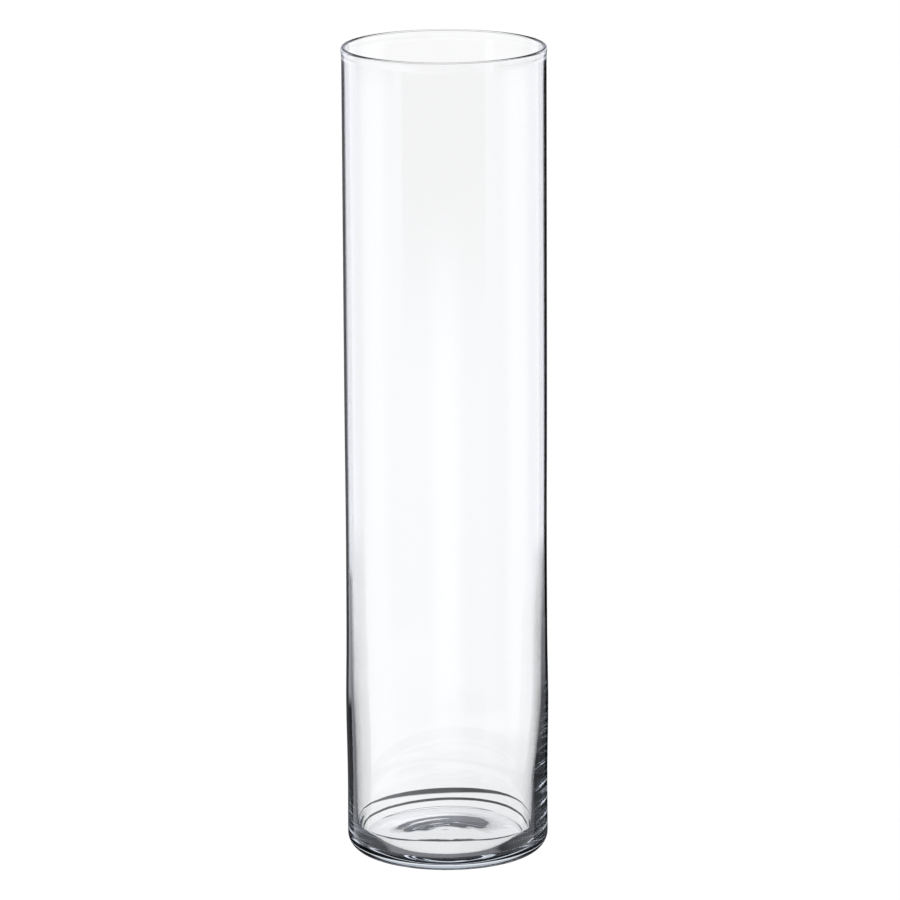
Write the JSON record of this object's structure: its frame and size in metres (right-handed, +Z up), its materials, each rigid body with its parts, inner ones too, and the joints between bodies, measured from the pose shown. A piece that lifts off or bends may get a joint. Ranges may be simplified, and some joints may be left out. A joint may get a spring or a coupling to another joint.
{
  "type": "glass cylinder vase",
  "caption": "Tall straight-sided vase of clear blown glass with a fire-polished lip, a thick rounded foot and a shallow raised underside, for long-stemmed flowers.",
  "frame": {"origin": "centre of the ring that the vase stands on", "axes": "+Z up along the vase's axis, towards its mouth; +X to the right and +Y to the back as it is seen from the front"},
  "size_m": [0.1488, 0.1488, 0.6],
  "materials": {
    "clear_glass": "clear colourless glass, polished, with a fire-polished lip and a faint cool cast in the thick foot"
  },
  "bodies": {
    "root": {"vase_body": "clear_glass"}
  },
  "joints": []
}
